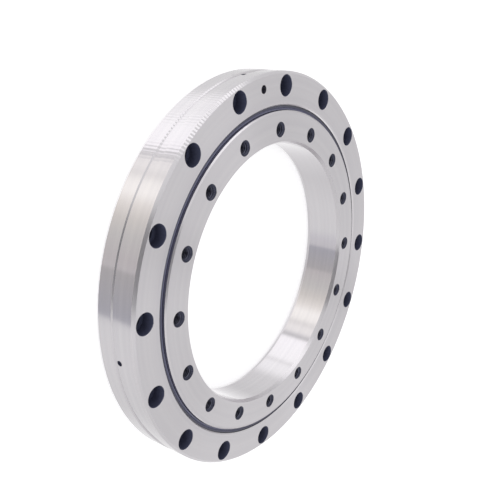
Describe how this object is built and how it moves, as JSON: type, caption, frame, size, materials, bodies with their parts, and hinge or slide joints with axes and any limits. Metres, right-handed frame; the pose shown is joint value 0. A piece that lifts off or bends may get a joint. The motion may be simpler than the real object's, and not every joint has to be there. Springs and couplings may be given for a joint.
{
  "type": "crossed roller bearing",
  "caption": "Thin ring bearing with screw holes in both rings: rollers that lean in and out by turns run in one V groove between two rubber seals.",
  "frame": {"origin": "centre of the outer ring's back face, on the bearing's axis", "axes": "+Z along the bearing's axis, out of the face with the counterbores; +X through the roller filling plug"},
  "size_m": [0.225, 0.225, 0.0254],
  "materials": {
    "outer_ring_steel": "fine turned, satin",
    "inner_ring_steel": "fine turned, satin",
    "plug_steel": "ground with the rim",
    "pin_steel": "plain ground",
    "roller_steel": "ground bearing steel",
    "seal_rubber": "satin black",
    "spacer_plastic": "natural"
  },
  "bodies": {
    "outer_ring": {"outer_ring": "outer_ring_steel", "filling_plug": "plug_steel", "plug_pin": "pin_steel", "front_seal": "seal_rubber", "back_seal": "seal_rubber"},
    "inner_ring": {"inner_ring": "inner_ring_steel"},
    "roller_set": {"roller_spacers": "spacer_plastic"},
    "roller_01": {"roller_01": "roller_steel"},
    "roller_02": {"roller_02": "roller_steel"},
    "roller_03": {"roller_03": "roller_steel"},
    "roller_04": {"roller_04": "roller_steel"},
    "roller_05": {"roller_05": "roller_steel"},
    "roller_06": {"roller_06": "roller_steel"},
    "roller_07": {"roller_07": "roller_steel"},
    "roller_08": {"roller_08": "roller_steel"},
    "roller_09": {"roller_09": "roller_steel"},
    "roller_10": {"roller_10": "roller_steel"},
    "roller_11": {"roller_11": "roller_steel"},
    "roller_12": {"roller_12": "roller_steel"},
    "roller_13": {"roller_13": "roller_steel"},
    "roller_14": {"roller_14": "roller_steel"},
    "roller_15": {"roller_15": "roller_steel"},
    "roller_16": {"roller_16": "roller_steel"},
    "roller_17": {"roller_17": "roller_steel"},
    "roller_18": {"roller_18": "roller_steel"},
    "roller_19": {"roller_19": "roller_steel"},
    "roller_20": {"roller_20": "roller_steel"},
    "roller_21": {"roller_21": "roller_steel"},
    "roller_22": {"roller_22": "roller_steel"},
    "roller_23": {"roller_23": "roller_steel"},
    "roller_24": {"roller_24": "roller_steel"},
    "roller_25": {"roller_25": "roller_steel"},
    "roller_26": {"roller_26": "roller_steel"},
    "roller_27": {"roller_27": "roller_steel"},
    "roller_28": {"roller_28": "roller_steel"},
    "roller_29": {"roller_29": "roller_steel"},
    "roller_30": {"roller_30": "roller_steel"},
    "roller_31": {"roller_31": "roller_steel"},
    "roller_32": {"roller_32": "roller_steel"},
    "roller_33": {"roller_33": "roller_steel"},
    "roller_34": {"roller_34": "roller_steel"},
    "roller_35": {"roller_35": "roller_steel"},
    "roller_36": {"roller_36": "roller_steel"},
    "roller_37": {"roller_37": "roller_steel"},
    "roller_38": {"roller_38": "roller_steel"},
    "roller_39": {"roller_39": "roller_steel"},
    "roller_40": {"roller_40": "roller_steel"},
    "roller_41": {"roller_41": "roller_steel"},
    "roller_42": {"roller_42": "roller_steel"},
    "roller_43": {"roller_43": "roller_steel"},
    "roller_44": {"roller_44": "roller_steel"},
    "roller_45": {"roller_45": "roller_steel"},
    "roller_46": {"roller_46": "roller_steel"},
    "roller_47": {"roller_47": "roller_steel"},
    "roller_48": {"roller_48": "roller_steel"}
  },
  "joints": [
    {"name": "inner_ring_turn", "type": "hinge", "parent": "outer_ring", "child": "inner_ring", "pos_m": [0, 0, 0.0127], "axis": [0, 0, 1], "continuous": true},
    {"name": "roller_set_turn", "type": "hinge", "parent": "outer_ring", "child": "roller_set", "pos_m": [0, 0, 0.0127], "axis": [0, 0, 1], "continuous": true},
    {"name": "roller_01_spin", "type": "hinge", "parent": "roller_set", "child": "roller_01", "pos_m": [0.0936, 0, 0.0127], "axis": [0.7071, 0, 0.7071], "continuous": true},
    {"name": "roller_02_spin", "type": "hinge", "parent": "roller_set", "child": "roller_02", "pos_m": [0.0928, 0.01222, 0.0127], "axis": [-0.7011, -0.0923, 0.7071], "continuous": true},
    {"name": "roller_03_spin", "type": "hinge", "parent": "roller_set", "child": "roller_03", "pos_m": [0.09041, 0.02423, 0.0127], "axis": [0.683, 0.183, 0.7071], "continuous": true},
    {"name": "roller_04_spin", "type": "hinge", "parent": "roller_set", "child": "roller_04", "pos_m": [0.08648, 0.03582, 0.0127], "axis": [-0.6533, -0.2706, 0.7071], "continuous": true},
    {"name": "roller_05_spin", "type": "hinge", "parent": "roller_set", "child": "roller_05", "pos_m": [0.08106, 0.0468, 0.0127], "axis": [0.6124, 0.3536, 0.7071], "continuous": true},
    {"name": "roller_06_spin", "type": "hinge", "parent": "roller_set", "child": "roller_06", "pos_m": [0.07426, 0.05698, 0.0127], "axis": [-0.561, -0.4305, 0.7071], "continuous": true},
    {"name": "roller_07_spin", "type": "hinge", "parent": "roller_set", "child": "roller_07", "pos_m": [0.06619, 0.06619, 0.0127], "axis": [0.5, 0.5, 0.7071], "continuous": true},
    {"name": "roller_08_spin", "type": "hinge", "parent": "roller_set", "child": "roller_08", "pos_m": [0.05698, 0.07426, 0.0127], "axis": [-0.4305, -0.561, 0.7071], "continuous": true},
    {"name": "roller_09_spin", "type": "hinge", "parent": "roller_set", "child": "roller_09", "pos_m": [0.0468, 0.08106, 0.0127], "axis": [0.3536, 0.6124, 0.7071], "continuous": true},
    {"name": "roller_10_spin", "type": "hinge", "parent": "roller_set", "child": "roller_10", "pos_m": [0.03582, 0.08648, 0.0127], "axis": [-0.2706, -0.6533, 0.7071], "continuous": true},
    {"name": "roller_11_spin", "type": "hinge", "parent": "roller_set", "child": "roller_11", "pos_m": [0.02423, 0.09041, 0.0127], "axis": [0.183, 0.683, 0.7071], "continuous": true},
    {"name": "roller_12_spin", "type": "hinge", "parent": "roller_set", "child": "roller_12", "pos_m": [0.01222, 0.0928, 0.0127], "axis": [-0.0923, -0.7011, 0.7071], "continuous": true},
    {"name": "roller_13_spin", "type": "hinge", "parent": "roller_set", "child": "roller_13", "pos_m": [0, 0.0936, 0.0127], "axis": [0, 0.7071, 0.7071], "continuous": true},
    {"name": "roller_14_spin", "type": "hinge", "parent": "roller_set", "child": "roller_14", "pos_m": [-0.01222, 0.0928, 0.0127], "axis": [0.0923, -0.7011, 0.7071], "continuous": true},
    {"name": "roller_15_spin", "type": "hinge", "parent": "roller_set", "child": "roller_15", "pos_m": [-0.02423, 0.09041, 0.0127], "axis": [-0.183, 0.683, 0.7071], "continuous": true},
    {"name": "roller_16_spin", "type": "hinge", "parent": "roller_set", "child": "roller_16", "pos_m": [-0.03582, 0.08648, 0.0127], "axis": [0.2706, -0.6533, 0.7071], "continuous": true},
    {"name": "roller_17_spin", "type": "hinge", "parent": "roller_set", "child": "roller_17", "pos_m": [-0.0468, 0.08106, 0.0127], "axis": [-0.3536, 0.6124, 0.7071], "continuous": true},
    {"name": "roller_18_spin", "type": "hinge", "parent": "roller_set", "child": "roller_18", "pos_m": [-0.05698, 0.07426, 0.0127], "axis": [0.4305, -0.561, 0.7071], "continuous": true},
    {"name": "roller_19_spin", "type": "hinge", "parent": "roller_set", "child": "roller_19", "pos_m": [-0.06619, 0.06619, 0.0127], "axis": [-0.5, 0.5, 0.7071], "continuous": true},
    {"name": "roller_20_spin", "type": "hinge", "parent": "roller_set", "child": "roller_20", "pos_m": [-0.07426, 0.05698, 0.0127], "axis": [0.561, -0.4305, 0.7071], "continuous": true},
    {"name": "roller_21_spin", "type": "hinge", "parent": "roller_set", "child": "roller_21", "pos_m": [-0.08106, 0.0468, 0.0127], "axis": [-0.6124, 0.3536, 0.7071], "continuous": true},
    {"name": "roller_22_spin", "type": "hinge", "parent": "roller_set", "child": "roller_22", "pos_m": [-0.08648, 0.03582, 0.0127], "axis": [0.6533, -0.2706, 0.7071], "continuous": true},
    {"name": "roller_23_spin", "type": "hinge", "parent": "roller_set", "child": "roller_23", "pos_m": [-0.09041, 0.02423, 0.0127], "axis": [-0.683, 0.183, 0.7071], "continuous": true},
    {"name": "roller_24_spin", "type": "hinge", "parent": "roller_set", "child": "roller_24", "pos_m": [-0.0928, 0.01222, 0.0127], "axis": [0.7011, -0.0923, 0.7071], "continuous": true},
    {"name": "roller_25_spin", "type": "hinge", "parent": "roller_set", "child": "roller_25", "pos_m": [-0.0936, 0, 0.0127], "axis": [-0.7071, 0, 0.7071], "continuous": true},
    {"name": "roller_26_spin", "type": "hinge", "parent": "roller_set", "child": "roller_26", "pos_m": [-0.0928, -0.01222, 0.0127], "axis": [0.7011, 0.0923, 0.7071], "continuous": true},
    {"name": "roller_27_spin", "type": "hinge", "parent": "roller_set", "child": "roller_27", "pos_m": [-0.09041, -0.02423, 0.0127], "axis": [-0.683, -0.183, 0.7071], "continuous": true},
    {"name": "roller_28_spin", "type": "hinge", "parent": "roller_set", "child": "roller_28", "pos_m": [-0.08648, -0.03582, 0.0127], "axis": [0.6533, 0.2706, 0.7071], "continuous": true},
    {"name": "roller_29_spin", "type": "hinge", "parent": "roller_set", "child": "roller_29", "pos_m": [-0.08106, -0.0468, 0.0127], "axis": [-0.6124, -0.3536, 0.7071], "continuous": true},
    {"name": "roller_30_spin", "type": "hinge", "parent": "roller_set", "child": "roller_30", "pos_m": [-0.07426, -0.05698, 0.0127], "axis": [0.561, 0.4305, 0.7071], "continuous": true},
    {"name": "roller_31_spin", "type": "hinge", "parent": "roller_set", "child": "roller_31", "pos_m": [-0.06619, -0.06619, 0.0127], "axis": [-0.5, -0.5, 0.7071], "continuous": true},
    {"name": "roller_32_spin", "type": "hinge", "parent": "roller_set", "child": "roller_32", "pos_m": [-0.05698, -0.07426, 0.0127], "axis": [0.4305, 0.561, 0.7071], "continuous": true},
    {"name": "roller_33_spin", "type": "hinge", "parent": "roller_set", "child": "roller_33", "pos_m": [-0.0468, -0.08106, 0.0127], "axis": [-0.3536, -0.6124, 0.7071], "continuous": true},
    {"name": "roller_34_spin", "type": "hinge", "parent": "roller_set", "child": "roller_34", "pos_m": [-0.03582, -0.08648, 0.0127], "axis": [0.2706, 0.6533, 0.7071], "continuous": true},
    {"name": "roller_35_spin", "type": "hinge", "parent": "roller_set", "child": "roller_35", "pos_m": [-0.02423, -0.09041, 0.0127], "axis": [-0.183, -0.683, 0.7071], "continuous": true},
    {"name": "roller_36_spin", "type": "hinge", "parent": "roller_set", "child": "roller_36", "pos_m": [-0.01222, -0.0928, 0.0127], "axis": [0.0923, 0.7011, 0.7071], "continuous": true},
    {"name": "roller_37_spin", "type": "hinge", "parent": "roller_set", "child": "roller_37", "pos_m": [0, -0.0936, 0.0127], "axis": [0, -0.7071, 0.7071], "continuous": true},
    {"name": "roller_38_spin", "type": "hinge", "parent": "roller_set", "child": "roller_38", "pos_m": [0.01222, -0.0928, 0.0127], "axis": [-0.0923, 0.7011, 0.7071], "continuous": true},
    {"name": "roller_39_spin", "type": "hinge", "parent": "roller_set", "child": "roller_39", "pos_m": [0.02423, -0.09041, 0.0127], "axis": [0.183, -0.683, 0.7071], "continuous": true},
    {"name": "roller_40_spin", "type": "hinge", "parent": "roller_set", "child": "roller_40", "pos_m": [0.03582, -0.08648, 0.0127], "axis": [-0.2706, 0.6533, 0.7071], "continuous": true},
    {"name": "roller_41_spin", "type": "hinge", "parent": "roller_set", "child": "roller_41", "pos_m": [0.0468, -0.08106, 0.0127], "axis": [0.3536, -0.6124, 0.7071], "continuous": true},
    {"name": "roller_42_spin", "type": "hinge", "parent": "roller_set", "child": "roller_42", "pos_m": [0.05698, -0.07426, 0.0127], "axis": [-0.4305, 0.561, 0.7071], "continuous": true},
    {"name": "roller_43_spin", "type": "hinge", "parent": "roller_set", "child": "roller_43", "pos_m": [0.06619, -0.06619, 0.0127], "axis": [0.5, -0.5, 0.7071], "continuous": true},
    {"name": "roller_44_spin", "type": "hinge", "parent": "roller_set", "child": "roller_44", "pos_m": [0.07426, -0.05698, 0.0127], "axis": [-0.561, 0.4305, 0.7071], "continuous": true},
    {"name": "roller_45_spin", "type": "hinge", "parent": "roller_set", "child": "roller_45", "pos_m": [0.08106, -0.0468, 0.0127], "axis": [0.6124, -0.3536, 0.7071], "continuous": true},
    {"name": "roller_46_spin", "type": "hinge", "parent": "roller_set", "child": "roller_46", "pos_m": [0.08648, -0.03582, 0.0127], "axis": [-0.6533, 0.2706, 0.7071], "continuous": true},
    {"name": "roller_47_spin", "type": "hinge", "parent": "roller_set", "child": "roller_47", "pos_m": [0.09041, -0.02423, 0.0127], "axis": [0.683, -0.183, 0.7071], "continuous": true},
    {"name": "roller_48_spin", "type": "hinge", "parent": "roller_set", "child": "roller_48", "pos_m": [0.0928, -0.01222, 0.0127], "axis": [-0.7011, 0.0923, 0.7071], "continuous": true}
  ],
  "couplings": [
    {"joint": "roller_set_turn", "follows": "inner_ring_turn", "ratio": 0.48489},
    {"joint": "roller_01_spin", "follows": "inner_ring_turn", "ratio": -11.689},
    {"joint": "roller_02_spin", "follows": "inner_ring_turn", "ratio": -11.689},
    {"joint": "roller_03_spin", "follows": "inner_ring_turn", "ratio": -11.689},
    {"joint": "roller_04_spin", "follows": "inner_ring_turn", "ratio": -11.689},
    {"joint": "roller_05_spin", "follows": "inner_ring_turn", "ratio": -11.689},
    {"joint": "roller_06_spin", "follows": "inner_ring_turn", "ratio": -11.689},
    {"joint": "roller_07_spin", "follows": "inner_ring_turn", "ratio": -11.689},
    {"joint": "roller_08_spin", "follows": "inner_ring_turn", "ratio": -11.689},
    {"joint": "roller_09_spin", "follows": "inner_ring_turn", "ratio": -11.689},
    {"joint": "roller_10_spin", "follows": "inner_ring_turn", "ratio": -11.689},
    {"joint": "roller_11_spin", "follows": "inner_ring_turn", "ratio": -11.689},
    {"joint": "roller_12_spin", "follows": "inner_ring_turn", "ratio": -11.689},
    {"joint": "roller_13_spin", "follows": "inner_ring_turn", "ratio": -11.689},
    {"joint": "roller_14_spin", "follows": "inner_ring_turn", "ratio": -11.689},
    {"joint": "roller_15_spin", "follows": "inner_ring_turn", "ratio": -11.689},
    {"joint": "roller_16_spin", "follows": "inner_ring_turn", "ratio": -11.689},
    {"joint": "roller_17_spin", "follows": "inner_ring_turn", "ratio": -11.689},
    {"joint": "roller_18_spin", "follows": "inner_ring_turn", "ratio": -11.689},
    {"joint": "roller_19_spin", "follows": "inner_ring_turn", "ratio": -11.689},
    {"joint": "roller_20_spin", "follows": "inner_ring_turn", "ratio": -11.689},
    {"joint": "roller_21_spin", "follows": "inner_ring_turn", "ratio": -11.689},
    {"joint": "roller_22_spin", "follows": "inner_ring_turn", "ratio": -11.689},
    {"joint": "roller_23_spin", "follows": "inner_ring_turn", "ratio": -11.689},
    {"joint": "roller_24_spin", "follows": "inner_ring_turn", "ratio": -11.689},
    {"joint": "roller_25_spin", "follows": "inner_ring_turn", "ratio": -11.689},
    {"joint": "roller_26_spin", "follows": "inner_ring_turn", "ratio": -11.689},
    {"joint": "roller_27_spin", "follows": "inner_ring_turn", "ratio": -11.689},
    {"joint": "roller_28_spin", "follows": "inner_ring_turn", "ratio": -11.689},
    {"joint": "roller_29_spin", "follows": "inner_ring_turn", "ratio": -11.689},
    {"joint": "roller_30_spin", "follows": "inner_ring_turn", "ratio": -11.689},
    {"joint": "roller_31_spin", "follows": "inner_ring_turn", "ratio": -11.689},
    {"joint": "roller_32_spin", "follows": "inner_ring_turn", "ratio": -11.689},
    {"joint": "roller_33_spin", "follows": "inner_ring_turn", "ratio": -11.689},
    {"joint": "roller_34_spin", "follows": "inner_ring_turn", "ratio": -11.689},
    {"joint": "roller_35_spin", "follows": "inner_ring_turn", "ratio": -11.689},
    {"joint": "roller_36_spin", "follows": "inner_ring_turn", "ratio": -11.689},
    {"joint": "roller_37_spin", "follows": "inner_ring_turn", "ratio": -11.689},
    {"joint": "roller_38_spin", "follows": "inner_ring_turn", "ratio": -11.689},
    {"joint": "roller_39_spin", "follows": "inner_ring_turn", "ratio": -11.689},
    {"joint": "roller_40_spin", "follows": "inner_ring_turn", "ratio": -11.689},
    {"joint": "roller_41_spin", "follows": "inner_ring_turn", "ratio": -11.689},
    {"joint": "roller_42_spin", "follows": "inner_ring_turn", "ratio": -11.689},
    {"joint": "roller_43_spin", "follows": "inner_ring_turn", "ratio": -11.689},
    {"joint": "roller_44_spin", "follows": "inner_ring_turn", "ratio": -11.689},
    {"joint": "roller_45_spin", "follows": "inner_ring_turn", "ratio": -11.689},
    {"joint": "roller_46_spin", "follows": "inner_ring_turn", "ratio": -11.689},
    {"joint": "roller_47_spin", "follows": "inner_ring_turn", "ratio": -11.689},
    {"joint": "roller_48_spin", "follows": "inner_ring_turn", "ratio": -11.689}
  ]
}
